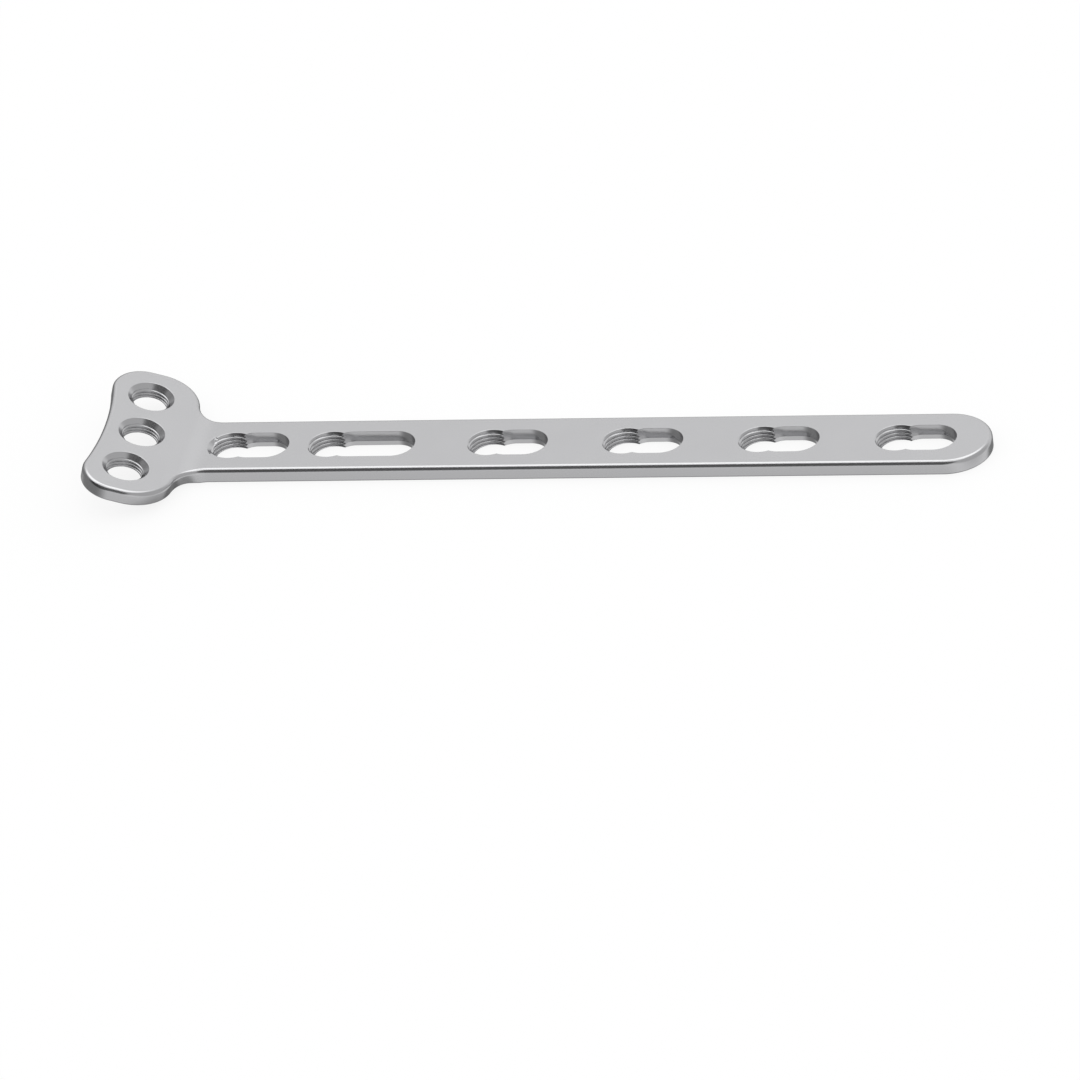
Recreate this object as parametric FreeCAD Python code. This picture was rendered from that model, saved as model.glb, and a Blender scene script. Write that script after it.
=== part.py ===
"""Bent T-shaped orthopedic bone plate with threaded head holes and combination shaft holes.

All lengths are in millimetres. The shaft lies flat with its underside on z = 0 and runs
along x towards its rounded tip, the head rises at the -x end. While the plate is built, x
is measured from the thread axis of the third shaft hole. At the end the plate is moved
along x so that its bounding box is centred on x = 0.
"""

import FreeCAD
import Part

import math
import os

# Section of the plate
THICKNESS = 1.7
SHAFT_WIDTH = 10.0
TOP_ROUND = 0.5
UNDERSIDE_ROUND = 0.35

# Places along the shaft: a pattern of equal holes, a long hole, a hole at the neck
HOLE_PITCH = 15.33
PATTERN_COUNT = 4
LONG_HOLE_SPACING = 18.25
NECK_HOLE_SPACING = 11.3
TIP_REACH = 10.6

# Bend between shaft and head, given at the top surface
BEND_ANGLE = 17.4
BEND_RADIUS = 8.4
NECK_HOLE_TO_VERTEX = 3.8

# Head outline as flattened: the neck's arc, the lobe, a straight side, a corner, the hollow end
HEAD_WIDTH = 23.9
NECK_RADIUS = 3.4
NECK_TURN_ANGLE = 79.5
SIDE_LENGTH = 1.4
CORNER_RADIUS = 3.8
END_RADIUS = 40.86

# Head holes: a countersink over a threaded hole, modelled at the thread's crests. Reaches
# are measured from the bend's vertex.
MIDDLE_HOLE_REACH = 6.5
OUTER_HOLE_REACH = 6.87
OUTER_HOLE_TO_SIDE = 4.9
HEAD_HOLE_RADIUS = 1.95
COUNTERSINK_RADIUS = 2.66
COUNTERSINK_HALF_ANGLE = 45.0

# Shaft holes: a threaded hole, modelled at its crests, that runs into a slot
SHAFT_HOLE_RADIUS = 2.3
SHAFT_HOLE_BEVEL = 0.21
SLOT_HALF_WIDTH = 2.48
SLOT_START = 2.75
SLOT_END = 4.19
LONG_SLOT_END = 7.33

# Hollow wall of the slots, over a straight strip at the underside
SLOT_WALL_RADIUS = 3.0
SLOT_WALL_DEPTH = 1.15

# Crescent relief on the head side of the neck hole
RELIEF_MARGIN = 0.21
RELIEF_DEPTH = 0.45
RELIEF_START = 2.1

# Cutters run this far past the faces that they open
OVERRUN = 1.0

# Sizes tied to the values above
HALF_SHAFT = SHAFT_WIDTH / 2.0
HALF_HEAD = HEAD_WIDTH / 2.0
MOUTH_RADIUS = SHAFT_HOLE_RADIUS + SHAFT_HOLE_BEVEL
LONG_HOLE_X = -LONG_HOLE_SPACING
NECK_HOLE_X = LONG_HOLE_X - NECK_HOLE_SPACING
TIP_X = (PATTERN_COUNT - 1) * HOLE_PITCH + TIP_REACH

BEND = math.radians(BEND_ANGLE)
BEND_REACH = BEND_RADIUS * math.tan(BEND / 2.0)
VERTEX_X = NECK_HOLE_X - NECK_HOLE_TO_VERTEX
BEND_START_X = VERTEX_X + BEND_REACH
BEND_END_X = VERTEX_X - BEND_REACH
BEND_CENTRE_Z = THICKNESS + BEND_RADIUS

# The neck's arc leaves the bend and runs into the lobe's arc, which touches the head's side
NECK_TURN = math.radians(NECK_TURN_ANGLE)
NECK_CENTRE_Y = HALF_SHAFT + NECK_RADIUS
NECK_CENTRE_X = BEND_END_X + NECK_RADIUS * math.sin(NECK_TURN)
LOBE_RISE = HALF_HEAD - NECK_CENTRE_Y + NECK_RADIUS * math.cos(NECK_TURN)
LOBE_RADIUS = LOBE_RISE / (1.0 - math.cos(NECK_TURN))
LOBE_CENTRE_Y = HALF_HEAD - LOBE_RADIUS
LOBE_CENTRE_X = BEND_END_X - LOBE_RADIUS * math.sin(NECK_TURN)

# The end's arc meets the two corners without a kink
CORNER_CENTRE_Y = HALF_HEAD - CORNER_RADIUS
CORNER_CENTRE_X = LOBE_CENTRE_X - SIDE_LENGTH
END_SWEEP = math.asin(CORNER_CENTRE_Y / (END_RADIUS + CORNER_RADIUS))
END_CENTRE_X = CORNER_CENTRE_X - (END_RADIUS + CORNER_RADIUS) * math.cos(END_SWEEP)

UP = FreeCAD.Vector(0, 0, 1)
ACROSS = FreeCAD.Vector(0, 1, 0)


def point(x, y, z=0.0):
    return FreeCAD.Vector(x, y, z)


def arc(cx, cy, radius, start, end):
    """Arc edge in the plane z = 0 from one angle to another, in radians."""
    points = []
    for angle in (start, (start + end) / 2.0, end):
        points.append(point(cx + radius * math.cos(angle), cy + radius * math.sin(angle)))
    return Part.Arc(*points).toShape()


def flat_plate(crossing, side):
    """Flat solid of the plate's thickness, from crossing edges and one side's edges."""
    edges = list(crossing)
    for edge in side:
        edges += [edge, edge.mirror(point(0, 0), ACROSS)]
    wire = Part.Wire(Part.__sortEdges__(edges))
    return Part.Face(wire).extrude(UP * THICKNESS)


def neck_half_width(x):
    """Half width of the neck on the flattened top surface, along its concave arc."""
    return NECK_CENTRE_Y - math.sqrt(NECK_RADIUS**2 - (x - NECK_CENTRE_X) ** 2)


def neck_slope(x):
    """Change of the neck's half width with x."""
    return (x - NECK_CENTRE_X) / (NECK_CENTRE_Y - neck_half_width(x))


def crossing_line(x):
    """Line across the neck where a flat solid ends at the bend."""
    width = neck_half_width(x)
    return Part.makeLine(point(x, -width), point(x, width))


def shaft_blank():
    """Flat shaft from the bend to the tip, with the first stretch of the neck's arcs."""
    quarter = math.pi / 2.0
    neck_start = -quarter - math.asin((NECK_CENTRE_X - BEND_START_X) / NECK_RADIUS)
    tip_centre = TIP_X - HALF_SHAFT
    crossing = [
        crossing_line(BEND_START_X),
        arc(tip_centre, 0.0, HALF_SHAFT, quarter, -quarter),
    ]
    side = [
        arc(NECK_CENTRE_X, NECK_CENTRE_Y, NECK_RADIUS, neck_start, -quarter),
        Part.makeLine(point(NECK_CENTRE_X, HALF_SHAFT), point(tip_centre, HALF_SHAFT)),
    ]
    return flat_plate(crossing, side)


def head_blank():
    """Head from the bend to its hollow end, turned up by the bend's angle."""
    quarter = math.pi / 2.0
    crossing = [
        crossing_line(BEND_END_X),
        arc(END_CENTRE_X, 0.0, END_RADIUS, END_SWEEP, -END_SWEEP),
    ]
    side = [
        arc(LOBE_CENTRE_X, LOBE_CENTRE_Y, LOBE_RADIUS, quarter - NECK_TURN, quarter),
        Part.makeLine(point(LOBE_CENTRE_X, HALF_HEAD), point(CORNER_CENTRE_X, HALF_HEAD)),
        arc(CORNER_CENTRE_X, CORNER_CENTRE_Y, CORNER_RADIUS, quarter, math.pi + END_SWEEP),
    ]
    return turned_up(flat_plate(crossing, side))


def turned_up(shape):
    """Turn a shape of the flattened head about the bend's vertex line on the top plane."""
    shape.rotate(point(VERTEX_X, 0, THICKNESS), ACROSS, BEND_ANGLE)
    return shape


def bend_wall_curve(radius, side):
    """Curve of the neck's side wall at one radius of the bend.

    The half width follows the flattened outline. A cubic term makes the wall run on from
    the flat walls at both ends of the bend without a kink, at every radius.
    """
    steps = 24
    run_per_radian = -2.0 * BEND_REACH / BEND
    start_term = -(radius + run_per_radian) * neck_slope(BEND_START_X) * BEND
    end_term = -(radius + run_per_radian) * neck_slope(BEND_END_X) * BEND
    points = []
    tangents = []
    angles = []
    for step in range(steps + 1):
        part = step / steps
        angle = part * BEND
        flat_x = BEND_START_X + run_per_radian * angle
        width = neck_half_width(flat_x)
        width += start_term * (part**3 - 2.0 * part**2 + part)
        width += end_term * (part**3 - part**2)
        growth = neck_slope(flat_x) * run_per_radian
        growth += start_term * (3.0 * part**2 - 4.0 * part + 1.0) / BEND
        growth += end_term * (3.0 * part**2 - 2.0 * part) / BEND
        across = radius * math.sin(angle)
        along = radius * math.cos(angle)
        points.append(point(BEND_START_X - across, side * width, BEND_CENTRE_Z - along))
        tangents.append(point(-along, side * growth, across))
        angles.append(angle)
    curve = Part.BSplineCurve()
    curve.interpolate(
        Points=points,
        Parameters=angles,
        Tangents=tangents,
        TangentFlags=[True] * len(points),
        Scale=False,
    )
    return curve.toShape()


def bend_blank():
    """Bent stretch between shaft and head, its side walls square to the bent surface."""
    corners = [
        point(BEND_START_X, -HALF_HEAD, 0),
        point(BEND_START_X, HALF_HEAD, 0),
        point(BEND_START_X, HALF_HEAD, THICKNESS),
        point(BEND_START_X, -HALF_HEAD, THICKNESS),
    ]
    section = Part.Face(Part.makePolygon(corners + corners[:1]))
    slab = section.revolve(point(BEND_START_X, 0, BEND_CENTRE_Z), ACROSS, BEND_ANGLE)
    inner = BEND_RADIUS - OVERRUN
    outer = BEND_RADIUS + THICKNESS + OVERRUN
    walls = []
    for side in (-1, 1):
        curves = [bend_wall_curve(radius, side) for radius in (inner, outer)]
        walls.append(Part.makeRuledSurface(*curves))
    pieces = slab.generalFuse(walls)[0].Solids
    middle = BEND_RADIUS + THICKNESS / 2.0
    inside = point(
        BEND_START_X - middle * math.sin(BEND / 2.0),
        0,
        BEND_CENTRE_Z - middle * math.cos(BEND / 2.0),
    )
    kept = [piece for piece in pieces if piece.isInside(inside, 1e-6, True)]
    return kept[0]


def outer_edges(shape, direction):
    """Outer edges of the top surface for direction 1, of the underside for direction -1.

    Each lies on one face of that surface only, the seams at the bend lie on two.
    """
    found = {}
    for face in shape.Faces:
        u0, u1, v0, v1 = face.ParameterRange
        normal = face.normalAt((u0 + u1) / 2.0, (v0 + v1) / 2.0)
        if normal.z * direction > 0.9:
            for edge in face.Edges:
                found.setdefault(edge.hashCode(), []).append(edge)
    return [same[0] for same in found.values() if len(same) == 1]


def plate_blank():
    """The bent plate with rounded edges and no holes."""
    blank = shaft_blank().fuse([bend_blank(), head_blank()]).removeSplitter()
    blank = blank.makeFillet(TOP_ROUND, outer_edges(blank, 1))
    return blank.makeFillet(UNDERSIDE_ROUND, outer_edges(blank, -1))


def turned_profile(corners, x):
    """Solid of revolution about a vertical axis at x, from corners given as radius, z."""
    points = [point(radius, 0, z) for radius, z in corners]
    face = Part.Face(Part.makePolygon(points + points[:1]))
    solid = face.revolve(point(0, 0), UP, 360.0)
    solid.translate(point(x, 0))
    return solid


def head_hole_cutter(reach, offset):
    """Countersink and hole, square to the head's surface."""
    spread = math.tan(math.radians(COUNTERSINK_HALF_ANGLE))
    depth = (COUNTERSINK_RADIUS - HEAD_HOLE_RADIUS) / spread
    corners = [
        (0, -OVERRUN),
        (HEAD_HOLE_RADIUS, -OVERRUN),
        (HEAD_HOLE_RADIUS, THICKNESS - depth),
        (COUNTERSINK_RADIUS + OVERRUN * spread, THICKNESS + OVERRUN),
        (0, THICKNESS + OVERRUN),
    ]
    cutter = turned_profile(corners, VERTEX_X - reach)
    cutter.translate(ACROSS * offset)
    return turned_up(cutter)


def shaft_hole_cutter(x):
    """Hole at the crests of the shaft thread, with its bevelled mouth."""
    corners = [
        (0, -OVERRUN),
        (SHAFT_HOLE_RADIUS, -OVERRUN),
        (SHAFT_HOLE_RADIUS, THICKNESS - SHAFT_HOLE_BEVEL),
        (MOUTH_RADIUS, THICKNESS),
        (MOUTH_RADIUS, THICKNESS + OVERRUN),
        (0, THICKNESS + OVERRUN),
    ]
    return turned_profile(corners, x)


def slot_section():
    """Half section of a slot in the xz plane, from its centre line outwards."""
    top = THICKNESS + OVERRUN
    centre = SLOT_HALF_WIDTH - SLOT_WALL_RADIUS
    turn = math.asin(SLOT_WALL_DEPTH / SLOT_WALL_RADIUS)
    hollow = []
    for angle in (turn, turn / 2.0, 0.0):
        x = centre + SLOT_WALL_RADIUS * math.cos(angle)
        hollow.append(point(x, 0, THICKNESS - SLOT_WALL_RADIUS * math.sin(angle)))
    foot = point(hollow[0].x, 0, -OVERRUN)
    rim = point(SLOT_HALF_WIDTH, 0, top)
    edges = [
        Part.makeLine(point(0, 0, -OVERRUN), foot),
        Part.makeLine(foot, hollow[0]),
        Part.Arc(*hollow).toShape(),
        Part.makeLine(hollow[2], rim),
        Part.makeLine(rim, point(0, 0, top)),
        Part.makeLine(point(0, 0, top), point(0, 0, -OVERRUN)),
    ]
    return Part.Face(Part.Wire(edges))


def slot_cutter(x, end):
    """Slot with hollow walls and round ends, beside the thread axis at x."""
    section = slot_section()
    pieces = []
    for reach in (SLOT_START, end):
        turned = section.revolve(point(0, 0), UP, 360.0)
        turned.translate(point(x + reach, 0))
        pieces.append(turned)
    section.rotate(point(0, 0), UP, 90.0)
    section.translate(point(x + SLOT_START, 0))
    half = section.extrude(point(end - SLOT_START, 0))
    pieces += [half, half.mirror(point(0, 0), ACROSS)]
    return pieces[0].fuse(pieces[1:])


def relief_cutter(x):
    """Crescent countersink beside the neck hole, on the head side of its axis."""
    radius = MOUTH_RADIUS + RELIEF_MARGIN
    corners = [
        (0, THICKNESS - RELIEF_DEPTH),
        (radius - RELIEF_DEPTH, THICKNESS - RELIEF_DEPTH),
        (radius, THICKNESS),
        (radius, THICKNESS + OVERRUN),
        (0, THICKNESS + OVERRUN),
    ]
    size = 2.0 * radius
    corner = point(x - RELIEF_START - size, -radius, 0)
    return turned_profile(corners, x).common(Part.makeBox(size, size, size, corner))


def bone_plate():
    """The whole plate in the frame that it is built in."""
    outer_offset = HALF_HEAD - OUTER_HOLE_TO_SIDE
    cutters = [
        head_hole_cutter(MIDDLE_HOLE_REACH, 0.0),
        head_hole_cutter(OUTER_HOLE_REACH, outer_offset),
        head_hole_cutter(OUTER_HOLE_REACH, -outer_offset),
        shaft_hole_cutter(NECK_HOLE_X),
        slot_cutter(NECK_HOLE_X, SLOT_END),
        relief_cutter(NECK_HOLE_X),
        shaft_hole_cutter(LONG_HOLE_X),
        slot_cutter(LONG_HOLE_X, LONG_SLOT_END),
    ]
    for index in range(PATTERN_COUNT):
        cutters.append(shaft_hole_cutter(index * HOLE_PITCH))
        cutters.append(slot_cutter(index * HOLE_PITCH, SLOT_END))
    return plate_blank().cut(cutters).removeSplitter()


def main():
    os.makedirs("parts", exist_ok=True)
    plate = bone_plate()
    box = plate.optimalBoundingBox()
    shift = -(box.XMin + box.XMax) / 2.0
    plate.translate(point(shift, 0))
    print("valid", plate.isValid(), "solids", len(plate.Solids), "faces", len(plate.Faces))
    print("shift along x", round(shift, 4))
    print("box", plate.optimalBoundingBox())
    plate.exportStep("parts/bone_plate.step")


main()
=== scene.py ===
"""Bent T-shaped bone plate in satin steel, with threaded head holes and combination holes.

The plate is worked out flat and in millimetres: x runs along the shaft towards its tip, y
across it, and depth goes down from the top face. Every surface is a grid of two parameters or
a profile carried along a loop, computed as whole arrays. One fold then turns the flat plate
into the bent one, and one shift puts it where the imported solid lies, in metres.
"""

import logging
import math
from dataclasses import dataclass, field
from enum import Enum

import bpy
import numpy as np
from mathutils import Matrix, Vector
from mathutils.geometry import delaunay_2d_cdt

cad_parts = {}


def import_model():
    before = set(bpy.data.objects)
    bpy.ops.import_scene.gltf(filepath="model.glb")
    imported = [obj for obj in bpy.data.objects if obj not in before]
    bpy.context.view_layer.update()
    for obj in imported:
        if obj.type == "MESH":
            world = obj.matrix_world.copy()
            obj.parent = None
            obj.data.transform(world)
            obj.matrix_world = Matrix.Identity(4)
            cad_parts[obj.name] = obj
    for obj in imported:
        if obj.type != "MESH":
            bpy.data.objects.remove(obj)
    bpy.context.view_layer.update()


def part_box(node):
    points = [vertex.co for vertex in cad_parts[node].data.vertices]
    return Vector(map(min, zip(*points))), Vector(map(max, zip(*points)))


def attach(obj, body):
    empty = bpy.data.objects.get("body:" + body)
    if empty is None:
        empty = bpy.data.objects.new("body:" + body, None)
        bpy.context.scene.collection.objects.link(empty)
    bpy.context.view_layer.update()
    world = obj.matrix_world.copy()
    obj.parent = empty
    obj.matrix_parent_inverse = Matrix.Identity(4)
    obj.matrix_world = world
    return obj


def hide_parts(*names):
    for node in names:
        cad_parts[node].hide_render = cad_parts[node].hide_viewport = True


NODE = "bone_plate"
BODY = "root"
MILLIMETRE = 0.001
FULL_TURN = 2.0 * math.pi
QUARTER = math.pi / 2.0
# Both in millimetres: points of the outline closer than the first are one point, and the
# triangulation of a face merges points closer than the second.
SAME_POINT = 0.001
MERGE_DISTANCE = 1e-7

log = logging.getLogger("plate")


class Side(Enum):
    """Which way a wall or a face looks."""

    OUTWARD = 1
    INTO_HOLE = -1
    UP = 2
    DOWN = -2


@dataclass(frozen=True)
class Section:
    """Thickness of the plate and the rounds on its edges, in millimetres.

    The outer side is rounded at the top face and at the underside. The holes' edges have only
    a small break, of a quarter circle too.
    """

    thickness: float = 1.7
    top_round: float = 0.5
    underside_round: float = 0.2
    rim_break: float = 0.03
    round_steps: int = 10
    break_steps: int = 3

    def side_profile(self) -> np.ndarray:
        """Profile of the outer side: a quarter circle, a straight wall and a quarter circle.

        Each quarter circle's inset is its radius less the sine part, and its depth is its
        radius less the cosine part, both over the turn from the face to the wall.

        Returns:
            Rows of inset and depth, from the top face down to the underside.
        """
        turn = np.linspace(0.0, QUARTER, self.round_steps + 1)
        inset = 1.0 - np.sin(turn)
        drop = 1.0 - np.cos(turn)
        top = np.stack((self.top_round * inset, self.top_round * drop), axis=1)
        rise = self.underside_round * drop[::-1]
        foot = np.stack((self.underside_round * inset[::-1], self.thickness - rise), axis=1)
        return np.concatenate((top, foot))

    def hole_levels(
        self, count: int, special: tuple[float, ...] = ()
    ) -> tuple[np.ndarray, np.ndarray]:
        """Depths of a hole's rings, and how much its edge breaks widen each ring.

        Args:
            count: Number of evenly spaced levels from one edge break to the other.
            special: Further depths, where the form of the wall changes.

        Returns:
            The depths from the top face to the underside, and the widening at each depth.
        """
        even = np.linspace(self.rim_break, self.thickness - self.rim_break, count)
        inner = np.sort(np.concatenate((even[1:-1], special)))
        turn = np.linspace(0.0, QUARTER, self.break_steps + 1)
        drop = self.rim_break * (1.0 - np.cos(turn))
        growth = self.rim_break * (1.0 - np.sin(turn))
        depths = np.concatenate((drop, inner, self.thickness - drop[::-1]))
        return depths, np.concatenate((growth, np.zeros(len(inner)), growth[::-1]))


@dataclass(frozen=True)
class Arc:
    """Round stretch of the outline, which may be hollow."""

    centre_x: float
    centre_y: float
    radius: float
    start: float
    end: float
    steps: int
    hollow: bool = False

    def sample(self) -> tuple[np.ndarray, np.ndarray]:
        """Points on the arc and the outward direction at each.

        A point is the centre plus the radius times the cosine and sine of its angle. The
        outward direction is that of the radius, turned round where the arc is hollow.

        Returns:
            The points and the outward directions, each as rows of x and y.
        """
        angle = np.linspace(self.start, self.end, self.steps + 1)
        spoke = np.stack((np.cos(angle), np.sin(angle)), axis=1)
        points = np.array((self.centre_x, self.centre_y)) + self.radius * spoke
        return points, -spoke if self.hollow else spoke


@dataclass(frozen=True)
class Bend:
    """Bend between shaft and head, given at the top face. Lengths are in millimetres."""

    angle: float = math.radians(17.4)
    radius: float = 8.4
    vertex_x: float = -33.35

    @property
    def reach(self) -> float:
        """Flattened length of the bend on each side of its vertex line."""
        return self.radius * math.tan(self.angle / 2.0)

    @property
    def start_x(self) -> float:
        """Where the flat shaft meets the bend."""
        return self.vertex_x + self.reach

    @property
    def end_x(self) -> float:
        """Where the bend meets the flat head."""
        return self.vertex_x - self.reach


@dataclass(frozen=True)
class Outline:
    """Flattened outline: round tip, long shaft, hollow neck, lobe, corner and hollow end.

    The neck's arc ends where the bend meets the flat head, and the lobe's runs on from it to
    the head's full width. A short straight side leads to the corner, and the corner to the end.
    The points of a straight run lie less than the spacing apart.
    """

    bend: Bend
    shaft_width: float = 10.0
    tip_x: float = 56.59
    head_width: float = 23.9
    neck_radius: float = 3.4
    neck_turn: float = math.radians(79.5)
    side_length: float = 1.4
    corner_radius: float = 3.8
    end_radius: float = 40.86
    tip_steps: int = 36
    neck_steps: int = 30
    corner_steps: int = 40
    end_steps: int = 14
    spacing: float = 2.5

    @property
    def neck_centre(self) -> tuple[float, float]:
        """Centre of the neck's hollow arc, which ends where the bend meets the head."""
        x = self.bend.end_x + self.neck_radius * math.sin(self.neck_turn)
        return x, self.shaft_width / 2.0 + self.neck_radius

    def half(self) -> list[Arc]:
        """The arcs of the far half, from the tip round to the middle of the hollow end."""
        half_shaft = self.shaft_width / 2.0
        half_head = self.head_width / 2.0
        neck_x, neck_y = self.neck_centre
        rise = half_head - neck_y + self.neck_radius * math.cos(self.neck_turn)
        lobe_radius = rise / (1.0 - math.cos(self.neck_turn))
        lobe_x = self.bend.end_x - lobe_radius * math.sin(self.neck_turn)
        corner_x = lobe_x - self.side_length
        corner_y = half_head - self.corner_radius
        reach = self.end_radius + self.corner_radius
        end_turn = math.asin(corner_y / reach)
        end_x = corner_x - reach * math.cos(end_turn)
        lobe_y = half_head - lobe_radius
        lobe_start = QUARTER - self.neck_turn
        neck_end = -QUARTER - self.neck_turn
        corner_end = math.pi + end_turn
        return [
            Arc(self.tip_x - half_shaft, 0.0, half_shaft, 0.0, QUARTER, self.tip_steps),
            Arc(neck_x, neck_y, self.neck_radius, -QUARTER, neck_end, self.neck_steps, True),
            Arc(lobe_x, lobe_y, lobe_radius, lobe_start, QUARTER, self.neck_steps),
            Arc(corner_x, corner_y, self.corner_radius, QUARTER, corner_end, self.corner_steps),
            Arc(end_x, 0.0, self.end_radius, end_turn, 0.0, self.end_steps, True),
        ]

    def loop(self) -> tuple[np.ndarray, np.ndarray]:
        """The whole outline, counter-clockwise seen from above, starting at the tip.

        Straight runs between two arcs are divided evenly. Where two arcs meet, the second
        one's first point is left out. The near half mirrors the far one.

        Returns:
            Points and outward directions, each as rows of x and y.
        """
        tip, *others = self.half()
        points, outward = tip.sample()
        for arc in others:
            more, directions = arc.sample()
            run = np.linalg.norm(more[0] - points[-1])
            share = np.linspace(0.0, 1.0, 2 + int(run / self.spacing))[1:-1, None]
            straight = points[-1] + share * (more[0] - points[-1])
            same = np.repeat(outward[-1:], len(straight), axis=0)
            first = 1 if run < SAME_POINT else 0
            points = np.concatenate((points, straight, more[first:]))
            outward = np.concatenate((outward, same, directions[first:]))
        mirror = np.array((1.0, -1.0))
        points = np.concatenate((points, points[-2:0:-1] * mirror))
        outward = np.concatenate((outward, outward[-2:0:-1] * mirror))
        return points, outward

    def half_width(self, x: float | np.ndarray) -> float | np.ndarray:
        """Half width of the neck at x: its arc's centre less the arc's height there."""
        neck_x, neck_y = self.neck_centre
        return neck_y - np.sqrt(self.neck_radius**2 - (x - neck_x) ** 2)

    def slope(self, x: float) -> float:
        """Change of the neck's half width with x."""
        neck_x, neck_y = self.neck_centre
        return float((x - neck_x) / (neck_y - self.half_width(x)))

    def bent_share(self, x: np.ndarray) -> np.ndarray:
        """Share of the bend that lies between the shaft and x."""
        return np.clip((self.bend.start_x - x) / (2.0 * self.bend.reach), 0.0, 1.0)

    def face_normals(self, x: np.ndarray) -> np.ndarray:
        """Normal of the top face at x: upright on the shaft, turned back over the bend."""
        turn = self.bent_share(x) * self.bend.angle
        return np.stack((np.sin(turn), np.zeros_like(turn), np.cos(turn)), axis=1)

    def fold(self, points: np.ndarray, thickness: float) -> np.ndarray:
        """Turns flat points into points of the bent plate.

        The shaft stays flat, the bend wraps its points round an axis above the plate, and
        the head turns about the vertex line on the top face.

        In the bend the arc at each depth differs in length from the flattened bend. A cubic
        with that difference times the neck's slope at either end changes the neck's width,
        so that its side runs on from the flat sides at every depth.

        Args:
            points: Rows of x, y and depth.
            thickness: Thickness of the plate.

        Returns:
            Rows of x, y and z.
        """
        bend = self.bend
        x, y, depth = points.T
        part = self.bent_share(x)
        radius = bend.radius + depth
        lack = (2.0 * bend.reach / bend.angle - radius) * bend.angle
        widen = lack * self.slope(bend.start_x) * (part**3 - 2.0 * part**2 + part)
        widen += lack * self.slope(bend.end_x) * (part**3 - part**2)
        neck = self.half_width(np.clip(x, bend.end_x, bend.start_x))
        y = y * (1.0 + widen / neck)
        turn = part * bend.angle
        arc_x = bend.start_x - radius * np.sin(turn)
        arc_z = thickness + bend.radius - radius * np.cos(turn)
        past = np.where(part < 1.0, 0.0, bend.end_x - x)
        ahead = np.where(part > 0.0, 0.0, x - bend.start_x)
        folded_x = arc_x + ahead - past * math.cos(bend.angle)
        return np.stack((folded_x, y, arc_z + past * math.sin(bend.angle)), axis=1)


@dataclass(frozen=True)
class Thread:
    """Right-handed tapered inner thread with straight flanks and rounded crests and roots.

    The crest radius holds at the top face, and the taper is its loss with each unit of depth.
    The groove angle is where the middle of the groove meets the top face. The land widens the
    crests, and a higher crispness rounds crests and roots less.
    """

    crest_radius: float
    taper: float
    depth: float
    pitch: float
    groove_angle: float
    flank_angle: float = math.radians(60.0)
    land: float = 0.1
    crispness: float = 3.0

    def radius(self, angle: np.ndarray, depth: np.ndarray) -> np.ndarray:
        """Radius of the threaded wall.

        The turn falls by one with each pitch of depth and with each turn about the axis. A
        triangle wave of it is 1 in the middle of the groove and -1 on the crest. It is
        lowered, which widens the crest, scaled to the height of a sharp thread and softly
        limited, which rounds crest and root. The taper narrows the whole wall with depth.

        Args:
            angle: Angle about the axis, counter-clockwise seen from above.
            depth: Depth below the top face.

        Returns:
            The radius at each angle and depth.
        """
        turn = -depth / self.pitch - (angle - self.groove_angle) / FULL_TURN
        wave = 4.0 * np.abs(turn - np.floor(turn) - 0.5) - 1.0 - self.land
        sharp_height = self.pitch / 2.0 * math.tan(self.flank_angle)
        steep = wave * sharp_height / self.depth
        limit = (1.0 + np.abs(steep) ** self.crispness) ** (1.0 / self.crispness)
        crest = self.crest_radius - self.taper * depth
        return crest + self.depth * (1.0 + steep / limit) / 2.0


@dataclass(frozen=True)
class HeadHole:
    """Countersunk threaded hole of the head, square to its surface."""

    x: float
    y: float
    thread: Thread
    countersink_radius: float = 2.66
    samples: int = 96
    rings: int = 58

    def wall(self, section: Section) -> np.ndarray:
        """Wall of the hole: at each angle and depth the larger of thread and countersink.

        The countersink is a cone at 45 degrees, so its radius falls as fast as the depth
        grows. The edge breaks widen the first and last rings.

        Args:
            section: The plate's section.

        Returns:
            Grid of rings by samples by x, y and depth.
        """
        depths, growth = section.hole_levels(self.rings)
        angle = np.arange(self.samples) * FULL_TURN / self.samples
        depth = depths[:, None]
        radius = self.thread.radius(angle[None, :], depth)
        radius = np.maximum(radius, self.countersink_radius - depth) + growth[:, None]
        x = self.x + radius * np.cos(angle)
        y = self.y + radius * np.sin(angle)
        return np.stack((x, y, np.broadcast_to(depth, x.shape)), axis=2)


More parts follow.
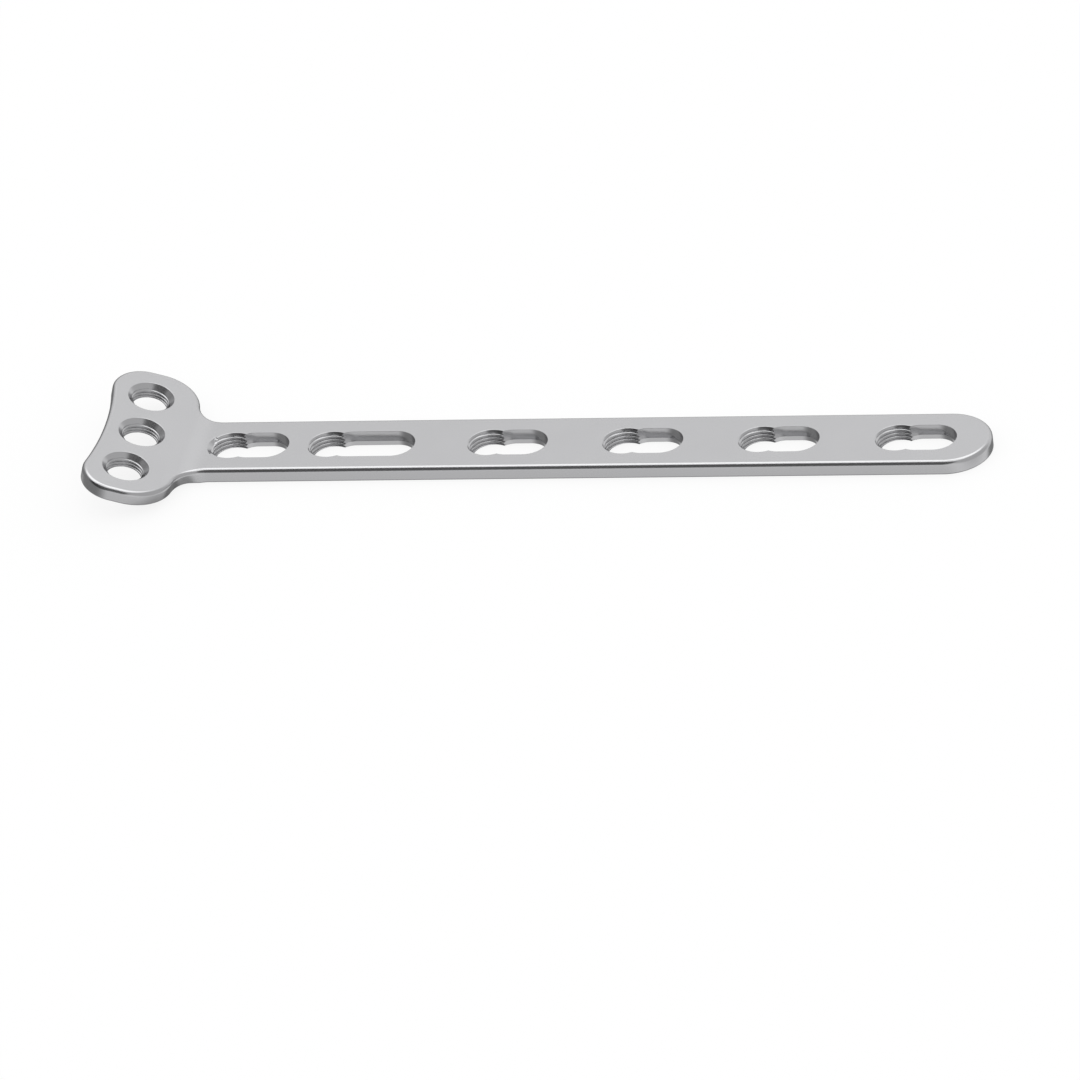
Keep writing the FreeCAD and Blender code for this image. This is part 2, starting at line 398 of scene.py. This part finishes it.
@dataclass(frozen=True)
class CombinationHole:
    """Threaded hole that runs into a slot with hollow walls.

    The threaded half's mouth has a bevel at 45 degrees. The slot's walls are hollow down to
    the wall depth, over a straight strip. A relieved hole has a shallow cut into the rim of
    its threaded half, on the side away from the slot. Distances along the slot are measured
    from the thread's axis.

    The samples of the threaded half lie about a thread step apart, at the same angles on
    every ring, from the settled angle on. Between there and the slot they are spread in a few
    settling steps. The step gap and the notch gap put rings and samples close to either side
    of the relief's steps.
    """

    x: float
    thread: Thread
    slot_end: float = 4.09
    relieved: bool = False
    mouth_radius: float = 2.56
    slot_start: float = 2.5
    start_lead: float = 0.28
    slot_half_width: float = 2.48
    wall_radius: float = 3.0
    wall_depth: float = 1.15
    relief_radius: float = 2.82
    relief_depth: float = 0.45
    relief_start: float = 2.2
    rings: int = 54
    step_gap: float = 0.004
    thread_step: float = math.radians(3.5)
    settled: float = math.radians(72.0)
    settling_steps: int = 5
    notch_gap: float = 0.004
    notch_lead: float = 0.03
    least_meeting: float = math.radians(20.0)
    halvings: int = 40
    inner_arc_steps: int = 8
    end_arc_steps: int = 36

    def half_width(self, depth: np.ndarray) -> np.ndarray:
        """Half width of the slot: a hollow arc, upright at the top, over a straight strip."""
        down = np.minimum(depth, self.wall_depth)
        return self.slot_half_width - self.wall_radius + np.sqrt(self.wall_radius**2 - down**2)

    def start(self, depth: np.ndarray) -> np.ndarray:
        """Centre of the slot's near-thread end: it moves evenly away down to the strip."""
        left = 1.0 - np.minimum(depth, self.wall_depth) / self.wall_depth
        return self.slot_start - self.start_lead * left

    def disc_radius(self, angle: np.ndarray, depth: np.ndarray) -> np.ndarray:
        """Radius of the threaded half with its bevelled mouth and, at the neck, its relief.

        Args:
            angle: Angle about the thread's axis.
            depth: Depth below the top face.

        Returns:
            The radius at each angle and depth.
        """
        radius = self.thread.radius(angle, depth)
        radius = np.maximum(radius, self.mouth_radius - depth)
        if not self.relieved:
            return radius
        cone = self.relief_radius - depth
        open_here = (depth < self.relief_depth) & (-cone * np.cos(angle) > self.relief_start)
        return np.where(open_here, np.maximum(radius, cone), radius)

    def meeting_angle(self, depth: np.ndarray, growth: np.ndarray, mirror: float) -> np.ndarray:
        """Angle about the thread's axis where the threaded wall meets the slot's wall.

        There the wall is as far from the centre of the slot's round end as the slot is wide
        to one side. The distance grows with the angle, so halving steps find it.

        Args:
            depth: Depth of each ring.
            growth: Widening of each ring by the edge breaks.
            mirror: 1 on the far side and -1 on the near side.

        Returns:
            The angle of each ring, positive on both sides.
        """
        low = np.full(len(depth), self.least_meeting)
        high = np.full(len(depth), QUARTER)
        width = self.half_width(depth) + growth
        start = self.start(depth)
        for _ in range(self.halvings):
            middle = (low + high) / 2.0
            radius = self.disc_radius(mirror * middle, depth) + growth
            away = np.hypot(radius * np.sin(middle), radius * np.cos(middle) - start)
            low = np.where(away < width, middle, low)
            high = np.where(away < width, high, middle)
        return (low + high) / 2.0

    def thread_angles(self, far: np.ndarray, near: np.ndarray) -> np.ndarray:
        """Angles of the threaded half's samples on each ring.

        They are the same on all rings away from the slot, and stretched evenly near it. Each
        of the relief's two steep ends gets a close pair of samples and one more beyond them.

        Args:
            far: Meeting angle of each ring on the far side.
            near: Meeting angle of each ring on the near side.

        Returns:
            Grid of rings by samples, from the far meeting line round to the near one.
        """
        count = int((FULL_TURN - 2.0 * self.settled) / self.thread_step)
        fixed = np.linspace(self.settled, FULL_TURN - self.settled, count + 1)
        if self.relieved:
            notch = math.acos(-self.relief_start / self.relief_radius)
            extra = notch + np.array((-self.notch_gap, self.notch_gap, self.notch_lead))
            fixed = np.sort(np.concatenate((fixed, extra, FULL_TURN - extra)))
        share = np.linspace(0.0, 1.0, self.settling_steps + 1)[None, :-1]
        first = far[:, None] + share * (self.settled - far[:, None])
        last = FULL_TURN - (near[:, None] + share * (self.settled - near[:, None]))
        middle = np.repeat(fixed[None, :], len(far), axis=0)
        return np.concatenate((first, middle, last[:, ::-1]), axis=1)

    def slot_ring(
        self, start: np.ndarray, end: np.ndarray, width: np.ndarray, centre: np.ndarray, steps: int
    ) -> np.ndarray:
        """Arc of the slot's wall on each ring: its centre plus the half width times a spoke.

        Args:
            start: Angle of the arc's start on each ring.
            end: Angle of the arc's end on each ring.
            width: Half width of the slot on each ring.
            centre: Distance of the arc's centre from the thread's axis on each ring.
            steps: Number of steps on the arc.

        Returns:
            Grid of rings by samples by x and y.
        """
        share = np.linspace(0.0, 1.0, steps + 1)[None, :]
        angle = start[:, None] + share * (end - start)[:, None]
        x = centre[:, None] + width[:, None] * np.cos(angle)
        return np.stack((x, width[:, None] * np.sin(angle)), axis=2)

    def wall(self, section: Section) -> np.ndarray:
        """Wall of the whole hole, ring by ring, counter-clockwise from the far meeting line.

        A ring is the threaded arc, the slot's near left arc, its near side, its round end,
        its far side and its far left arc.

        Args:
            section: The plate's section.

        Returns:
            Grid of rings by samples by x, y and depth.
        """
        special = (self.wall_depth,)
        if self.relieved:
            special += (self.relief_depth - self.step_gap, self.relief_depth + self.step_gap)
        depths, growth = section.hole_levels(self.rings, special)
        far = self.meeting_angle(depths, growth, 1.0)
        near = self.meeting_angle(depths, growth, -1.0)
        angle = self.thread_angles(far, near)
        radius = self.disc_radius(angle, depths[:, None]) + growth[:, None]
        threaded = np.stack((radius * np.cos(angle), radius * np.sin(angle)), axis=2)
        width = self.half_width(depths) + growth
        up = np.full(len(depths), QUARTER)
        start = self.start(depths)
        end = np.full(len(depths), self.slot_end)
        far_turn = np.arctan2(threaded[:, 0, 1], threaded[:, 0, 0] - start)
        near_turn = np.arctan2(threaded[:, -1, 1], threaded[:, -1, 0] - start)
        ring = [
            threaded,
            self.slot_ring(near_turn, -up, width, start, self.inner_arc_steps)[:, 1:],
            self.slot_ring(-up, up, width, end, self.end_arc_steps),
            self.slot_ring(up, far_turn, width, start, self.inner_arc_steps)[:, :-1],
        ]
        plan = np.concatenate(ring, axis=1)
        depth = np.broadcast_to(depths[:, None], plan.shape[:2])
        return np.stack((self.x + plan[:, :, 0], plan[:, :, 1], depth), axis=2)


@dataclass
class Shell:
    """Points and faces of one closed surface, gathered wall by wall."""

    points: list[np.ndarray] = field(default_factory=list)
    quads: list[np.ndarray] = field(default_factory=list)
    triangles: list[np.ndarray] = field(default_factory=list)
    rims: dict[Side, np.ndarray] = field(default_factory=dict)
    count: int = 0

    def add_wall(self, grid: np.ndarray, side: Side) -> tuple[np.ndarray, np.ndarray]:
        """Adds a wall that is closed round its rings, one four-sided face to each cell.

        Args:
            grid: Grid of rings by samples by x, y and depth, counter-clockwise from above.
            side: OUTWARD for the plate's own side, INTO_HOLE for a hole's wall.

        Returns:
            The point numbers of the first and of the last ring.
        """
        rings, samples = grid.shape[:2]
        number = self.count + np.arange(rings * samples).reshape(rings, samples)
        following = np.roll(number, -1, axis=1)
        cells = [number[:-1], following[:-1], following[1:], number[1:]]
        if side is Side.OUTWARD:
            cells.reverse()
        self.points.append(grid.reshape(-1, 3))
        self.quads.append(np.stack(cells, axis=2).reshape(-1, 4))
        self.count += rings * samples
        return number[0], number[-1]

    def add_face(
        self, outer: np.ndarray, holes: list[np.ndarray], rungs: np.ndarray, side: Side
    ) -> None:
        """Fills a face between its outer loop and its holes with Delaunay triangles.

        A triangle whose corners all lie on one loop is inside that loop where its corners
        follow the loop's order. Such triangles stay at the outer loop and go at a hole.

        Args:
            outer: Point numbers of the outer loop, counter-clockwise from above.
            holes: Point numbers of each hole's loop, counter-clockwise from above.
            rungs: Pairs of places in the outer loop that a straight edge joins.
            side: UP for the top face, DOWN for the underside.
        """
        loops = [outer, *holes]
        rim = np.concatenate(loops)
        sizes = [len(loop) for loop in loops]
        starts = np.cumsum([0, *sizes[:-1]])
        flat = np.concatenate(self.points)[rim, :2]
        edges = []
        for start, size in zip(starts, sizes):
            place = np.arange(size)
            edges.append(start + np.stack((place, np.roll(place, -1)), axis=1))
        fixed = np.concatenate((*edges, rungs)).tolist()
        plan = [Vector(point) for point in flat]
        made = delaunay_2d_cdt(plan, fixed, [], 0, MERGE_DISTANCE, False)
        if len(made[0]) != len(flat):
            raise ValueError("a face's edges cross or its points fall together")
        corners = np.array(made[2])
        loop_of = np.repeat(np.arange(len(loops)), sizes)[corners]
        following = np.roll(corners, -1, axis=1)
        in_order = (following > corners).sum(axis=1) == 2
        on_one = (loop_of == loop_of[:, :1]).all(axis=1)
        kept = corners[~on_one | (in_order == (loop_of[:, 0] == 0))]
        if side is Side.DOWN:
            kept = kept[:, ::-1]
        self.triangles.append(rim[kept])
        self.rims[side] = rim

    def mesh(self, name: str, points: np.ndarray) -> bpy.types.Mesh:
        """Makes the mesh from its final points and the gathered faces.

        Args:
            name: Name of the mesh.
            points: Final place of each point, in metres.

        Returns:
            The new mesh.
        """
        quads = np.concatenate(self.quads)
        triangles = np.concatenate(self.triangles)
        mesh = bpy.data.meshes.new(name)
        mesh.vertices.add(len(points))
        mesh.vertices.foreach_set("co", points.astype(np.float32).ravel())
        mesh.loops.add(quads.size + triangles.size)
        mesh.loops.foreach_set("vertex_index", np.concatenate((quads.ravel(), triangles.ravel())))
        mesh.polygons.add(len(quads) + len(triangles))
        sizes = np.concatenate((np.full(len(quads), 4), np.full(len(triangles), 3)))
        mesh.polygons.foreach_set("loop_start", np.cumsum(sizes) - sizes)
        mesh.update(calc_edges=True)
        return mesh

    def set_normals(self, mesh: bpy.types.Mesh, face_normals: np.ndarray) -> None:
        """Gives the rims of both faces the faces' own normals, so that the faces shade flat.

        Args:
            mesh: The mesh, with its sharp edges marked.
            face_normals: Normal of the top face at each point.
        """
        corner = np.empty(len(mesh.loops), dtype=np.int32)
        mesh.loops.foreach_get("vertex_index", corner)
        normals = np.empty(3 * len(mesh.loops), dtype=np.float32)
        mesh.corner_normals.foreach_get("vector", normals)
        normals = normals.reshape(-1, 3)
        for side, sign in ((Side.UP, 1.0), (Side.DOWN, -1.0)):
            on_rim = np.zeros(len(mesh.vertices), dtype=bool)
            on_rim[self.rims[side]] = True
            chosen = on_rim[corner]
            normals[chosen] = sign * face_normals[corner[chosen]]
        mesh.normals_split_custom_set(normals.tolist())


@dataclass(frozen=True)
class SatinSteel:
    """Satin implant steel: fine tumbled grain, faint clouding and slight spread of gloss.

    The sizes of cloud and grain are in millimetres.
    """

    colour: tuple[float, float, float] = (0.505, 0.505, 0.515)
    clouded: tuple[float, float, float] = (0.485, 0.485, 0.495)
    roughness: float = 0.22
    roughness_spread: float = 0.05
    cloud_size: float = 4.0
    cloud_detail: float = 4.0
    grain_size: float = 0.12
    grain_detail: float = 2.0
    grain_height: float = 0.0015

    def material(self) -> bpy.types.Material:
        """Builds the material on object coordinates."""
        material = bpy.data.materials.new("satin_steel")
        material.use_nodes = True
        nodes = material.node_tree.nodes
        links = material.node_tree.links
        shader = nodes["Principled BSDF"]
        shader.inputs["Metallic"].default_value = 1.0
        place = nodes.new("ShaderNodeTexCoord")
        cloud = nodes.new("ShaderNodeTexNoise")
        cloud.inputs["Scale"].default_value = 1.0 / (self.cloud_size * MILLIMETRE)
        cloud.inputs["Detail"].default_value = self.cloud_detail
        links.new(place.outputs["Object"], cloud.inputs["Vector"])
        tint = nodes.new("ShaderNodeMix")
        tint.data_type = "RGBA"
        tint.inputs["A"].default_value = (*self.clouded, 1.0)
        tint.inputs["B"].default_value = (*self.colour, 1.0)
        links.new(cloud.outputs["Fac"], tint.inputs["Factor"])
        links.new(tint.outputs["Result"], shader.inputs["Base Color"])
        gloss = nodes.new("ShaderNodeMapRange")
        gloss.inputs["To Min"].default_value = self.roughness - self.roughness_spread / 2.0
        gloss.inputs["To Max"].default_value = self.roughness + self.roughness_spread / 2.0
        links.new(cloud.outputs["Fac"], gloss.inputs["Value"])
        links.new(gloss.outputs["Result"], shader.inputs["Roughness"])
        grain = nodes.new("ShaderNodeTexNoise")
        grain.inputs["Scale"].default_value = 1.0 / (self.grain_size * MILLIMETRE)
        grain.inputs["Detail"].default_value = self.grain_detail
        links.new(place.outputs["Object"], grain.inputs["Vector"])
        bump = nodes.new("ShaderNodeBump")
        bump.inputs["Distance"].default_value = self.grain_height * MILLIMETRE
        links.new(grain.outputs["Fac"], bump.inputs["Height"])
        links.new(bump.outputs["Normal"], shader.inputs["Normal"])
        return material


@dataclass(frozen=True)
class BonePlate:
    """The whole plate: its outline, holes, thread forms and finish. Lengths in millimetres.

    In the shaft the threads' axes lie the thread offset nearer the tip than the solid's. Over
    the bend, straight edges cross the faces. They keep clear of the neck hole's relief and
    run a little past the bend onto the head.
    """

    section: Section = Section()
    outline: Outline = Outline(Bend())
    finish: SatinSteel = SatinSteel()
    hole_pitch: float = 15.33
    pattern_count: int = 4
    long_hole_spacing: float = 18.25
    neck_hole_spacing: float = 11.3
    long_slot_end: float = 7.23
    thread_offset: float = 0.1
    middle_hole_reach: float = 6.5
    outer_hole_reach: float = 6.87
    outer_hole_to_side: float = 4.9
    relief_clearance: float = 0.25
    rungs_past_bend: float = 0.6
    sharp_edge: float = math.radians(55.0)
    shaft_thread: Thread = Thread(
        crest_radius=2.29,
        taper=0.147,
        depth=0.22,
        pitch=0.404,
        groove_angle=math.radians(40.0),
    )
    head_thread: Thread = Thread(
        crest_radius=2.05,
        taper=0.06,
        depth=0.2,
        pitch=0.3625,
        groove_angle=math.radians(308.5),
    )

    def combination_holes(self) -> list[CombinationHole]:
        """The neck hole, the long hole and the pattern of equal holes."""
        long_x = self.thread_offset - self.long_hole_spacing
        neck_x = long_x - self.neck_hole_spacing
        holes = [
            CombinationHole(neck_x, self.shaft_thread, relieved=True),
            CombinationHole(long_x, self.shaft_thread, slot_end=self.long_slot_end),
        ]
        for index in range(self.pattern_count):
            x = self.thread_offset + index * self.hole_pitch
            holes.append(CombinationHole(x, self.shaft_thread))
        return holes

    def head_holes(self) -> list[HeadHole]:
        """The middle hole of the head and the two outer ones."""
        vertex = self.outline.bend.vertex_x
        offset = self.outline.head_width / 2.0 - self.outer_hole_to_side
        return [
            HeadHole(vertex - self.middle_hole_reach, 0.0, self.head_thread),
            HeadHole(vertex - self.outer_hole_reach, offset, self.head_thread),
            HeadHole(vertex - self.outer_hole_reach, -offset, self.head_thread),
        ]

    def side_wall(self) -> np.ndarray:
        """Outer side: the section's profile carried along the outline, square to it.

        Returns:
            Grid of rings by samples by x, y and depth.
        """
        base, outward = self.outline.loop()
        profile = self.section.side_profile()
        plan = base[None] - profile[:, :1, None] * outward[None]
        depth = np.broadcast_to(profile[:, 1:], plan.shape[:2])
        return np.concatenate((plan, depth[:, :, None]), axis=2)

    def rungs(self, ring: np.ndarray) -> np.ndarray:
        """Edges straight across the bend, between mirrored points of an outer ring.

        Args:
            ring: Rows of x, y and depth of the ring, which starts at the tip.

        Returns:
            Pairs of places in the ring.
        """
        bend = self.outline.bend
        nearest_shaft = bend.start_x - self.relief_clearance
        furthest_head = bend.end_x - self.rungs_past_bend
        widest = self.outline.half_width(bend.end_x) + self.outline.neck_radius
        far = np.arange(1, len(ring) // 2)
        x = ring[far, 0]
        far = far[(x < nearest_shaft) & (x > furthest_head)]
        far = far[ring[far, 1] < widest]
        return np.stack((far, len(ring) - far), axis=1)

    def build(self, origin: float) -> bpy.types.Object:
        """Builds the plate as one closed mesh.

        Args:
            origin: x of the third hole's axis in the frame of the solid, in metres.

        Returns:
            The new object.
        """
        shell = Shell()
        side = self.side_wall()
        top, foot = shell.add_wall(side, Side.OUTWARD)
        mouths = []
        exits = []
        for hole in [*self.head_holes(), *self.combination_holes()]:
            first, last = shell.add_wall(hole.wall(self.section), Side.INTO_HOLE)
            mouths.append(first)
            exits.append(last)
        shell.add_face(top, mouths, self.rungs(side[0]), Side.UP)
        shell.add_face(foot, exits, self.rungs(side[-1]), Side.DOWN)
        flat = np.concatenate(shell.points)
        points = self.outline.fold(flat, self.section.thickness)
        points = points * MILLIMETRE + np.array((origin, 0.0, 0.0))
        mesh = shell.mesh("plate", points)
        mesh.materials.append(self.finish.material())
        mesh.shade_smooth()
        mesh.set_sharp_from_angle(angle=self.sharp_edge)
        shell.set_normals(mesh, self.outline.face_normals(flat[:, 0]))
        plate = bpy.data.objects.new("plate", mesh)
        bpy.context.scene.collection.objects.link(plate)
        return plate


@dataclass(frozen=True)
class Patch:
    """Round patch of the surround that the metal mirrors. Angles are in degrees.

    The azimuth is 0 on the near side and grows towards the plate's tip.
    """

    azimuth: float
    elevation: float
    radius: float
    softness: float
    level: float

    def add(
        self, tree: bpy.types.NodeTree, direction: bpy.types.NodeSocket
    ) -> bpy.types.NodeSocket:
        """Adds the patch's level: 1 outside, and a smooth step of the cosine to its middle.

        Args:
            tree: The world's nodes.
            direction: Output that gives the mirrored direction.

        Returns:
            The output that gives the level.
        """
        azimuth = math.radians(self.azimuth)
        elevation = math.radians(self.elevation)
        nearness = tree.nodes.new("ShaderNodeVectorMath")
        nearness.operation = "DOT_PRODUCT"
        nearness.inputs[1].default_value = (
            math.sin(azimuth) * math.cos(elevation),
            -math.cos(azimuth) * math.cos(elevation),
            math.sin(elevation),
        )
        step = tree.nodes.new("ShaderNodeMapRange")
        step.interpolation_type = "SMOOTHSTEP"
        step.inputs["From Min"].default_value = math.cos(math.radians(self.radius + self.softness))
        step.inputs["From Max"].default_value = math.cos(math.radians(self.radius - self.softness))
        step.inputs["To Min"].default_value = 1.0
        step.inputs["To Max"].default_value = self.level
        tree.links.new(direction, nearness.inputs[0])
        tree.links.new(nearness.outputs["Value"], step.inputs["Value"])
        return step.outputs["Result"]


@dataclass(frozen=True)
class Studio:
    """White floor and surround, and the patches of light and shade that the metal mirrors.

    The first patch is the overhead lamp and the second is the opening in it, right above the
    plate. The others are dim stretches of the surround and one slightly brighter spot.
    """

    floor_size: float = 6.0
    shaded_share: float = 0.16
    patches: tuple[Patch, ...] = (
        Patch(azimuth=-175.0, elevation=77.0, radius=31.0, softness=4.0, level=2.0),
        Patch(azimuth=0.0, elevation=90.0, radius=9.0, softness=3.0, level=0.5),
        Patch(azimuth=-25.0, elevation=34.0, radius=40.0, softness=7.0, level=0.14),
        Patch(azimuth=-82.0, elevation=6.0, radius=54.0, softness=18.0, level=0.3),
        Patch(azimuth=-150.0, elevation=-8.0, radius=22.0, softness=8.0, level=0.3),
        Patch(azimuth=170.0, elevation=-36.0, radius=34.0, softness=8.0, level=0.28),
        Patch(azimuth=75.0, elevation=20.0, radius=50.0, softness=14.0, level=0.66),
        Patch(azimuth=-178.0, elevation=34.0, radius=6.0, softness=6.0, level=1.08),
        Patch(azimuth=-20.0, elevation=-50.0, radius=30.0, softness=10.0, level=0.86),
        Patch(azimuth=0.0, elevation=-90.0, radius=40.0, softness=10.0, level=0.4),
    )

    def surround(self) -> None:
        """World: plain white to the eye and as light, the product of the patches to a mirror."""
        world = bpy.data.worlds.new("studio")
        bpy.context.scene.world = world
        world.use_nodes = True
        tree = world.node_tree
        place = tree.nodes.new("ShaderNodeTexCoord")
        ray = tree.nodes.new("ShaderNodeLightPath")
        strength = tree.nodes.new("ShaderNodeMix")
        strength.inputs["A"].default_value = 1.0
        tree.links.new(ray.outputs["Is Glossy Ray"], strength.inputs["Factor"])
        mirrored = self.patches[0].add(tree, place.outputs["Generated"])
        for patch in self.patches[1:]:
            product = tree.nodes.new("ShaderNodeMath")
            product.operation = "MULTIPLY"
            tree.links.new(mirrored, product.inputs[0])
            tree.links.new(patch.add(tree, place.outputs["Generated"]), product.inputs[1])
            mirrored = product.outputs["Value"]
        tree.links.new(mirrored, strength.inputs["B"])
        background = tree.nodes["Background"]
        background.inputs["Color"].default_value = (1.0, 1.0, 1.0, 1.0)
        tree.links.new(strength.outputs["Result"], background.inputs["Strength"])

    def floor(self) -> None:
        """Floor under the plate: white, part of it shaded so that it keeps a soft shadow.

        The metal mirrors the surround in its place.
        """
        half = self.floor_size / 2.0
        corners = [(-half, -half, 0.0), (half, -half, 0.0), (half, half, 0.0), (-half, half, 0.0)]
        mesh = bpy.data.meshes.new("floor")
        mesh.from_pydata(corners, [], [(0, 1, 2, 3)])
        mesh.materials.append(self.floor_material())
        floor = bpy.data.objects.new("floor", mesh)
        bpy.context.scene.collection.objects.link(floor)
        floor.visible_glossy = False

    def floor_material(self) -> bpy.types.Material:
        """Floor finish: a shaded part plus a glow, which together are white in full light."""
        material = bpy.data.materials.new("white_floor")
        material.use_nodes = True
        nodes = material.node_tree.nodes
        links = material.node_tree.links
        nodes.remove(nodes["Principled BSDF"])
        share = self.shaded_share
        shaded = nodes.new("ShaderNodeBsdfDiffuse")
        shaded.inputs["Color"].default_value = (share, share, share, 1.0)
        glow = nodes.new("ShaderNodeEmission")
        glow.inputs["Strength"].default_value = 1.0 - share
        whole = nodes.new("ShaderNodeAddShader")
        links.new(shaded.outputs["BSDF"], whole.inputs[0])
        links.new(glow.outputs["Emission"], whole.inputs[1])
        links.new(whole.outputs["Shader"], nodes["Material Output"].inputs["Surface"])
        return material


@dataclass(frozen=True)
class Viewpoint:
    """Camera of the photograph: angles, lens, and where one point of the plate appears."""

    elevation: float = math.radians(33.259)
    azimuth: float = math.radians(14.235)
    roll: float = math.radians(8.439)
    picture_side: float = 1080.0
    focal_pixels: float = 8300.0
    pixels_per_millimetre: float = 8.985
    anchor_pixel: tuple[float, float] = (488.742, 442.232)
    sensor: float = 36.0
    nearest: float = 0.01
    furthest: float = 50.0

    def camera(self, anchor: Vector) -> None:
        """Makes the camera that shows the anchor at its pixel.

        The camera looks back along its direction from the plate, rolled about that line. It
        stands off by the focal length over the scale, moved sideways by the anchor's pixel.

        Args:
            anchor: The anchor's place, in metres.
        """
        level = math.cos(self.elevation)
        forward = -Vector((
            math.sin(self.azimuth) * level,
            -math.cos(self.azimuth) * level,
            math.sin(self.elevation),
        ))
        right = forward.cross(Vector((0.0, 0.0, 1.0))).normalized()
        turn = Matrix.Rotation(self.roll, 3, forward)
        right = turn @ right
        down = forward.cross(right)
        distance = self.focal_pixels / self.pixels_per_millimetre * MILLIMETRE
        off = [(p - self.picture_side / 2.0) / self.focal_pixels for p in self.anchor_pixel]
        place = anchor - distance * (forward + off[0] * right + off[1] * down)
        data = bpy.data.cameras.new("camera")
        data.sensor_width = self.sensor
        data.lens = self.focal_pixels / self.picture_side * self.sensor
        data.clip_start = self.nearest
        data.clip_end = self.furthest
        camera = bpy.data.objects.new("camera", data)
        turned = Matrix((right, -down, -forward)).transposed().to_4x4()
        camera.matrix_world = Matrix.Translation(place) @ turned
        bpy.context.scene.collection.objects.link(camera)
        bpy.context.scene.camera = camera


def main() -> None:
    """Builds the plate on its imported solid, then the studio and the camera."""
    logging.basicConfig(level=logging.INFO, format="%(name)s: %(message)s")
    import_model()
    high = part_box(NODE)[1]
    model = BonePlate()
    origin = high.x - model.outline.tip_x * MILLIMETRE
    plate = model.build(origin)
    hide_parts(NODE)
    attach(plate, BODY)
    log.info("plate: %d points, %d faces", len(plate.data.vertices), len(plate.data.polygons))
    studio = Studio()
    studio.surround()
    studio.floor()
    log.info("studio: floor and surround")
    Viewpoint().camera(Vector((origin, 0.0, model.section.thickness * MILLIMETRE)))
    bpy.context.scene.view_settings.view_transform = "Standard"
    log.info("camera placed")


if __name__ == "__main__":
    main()
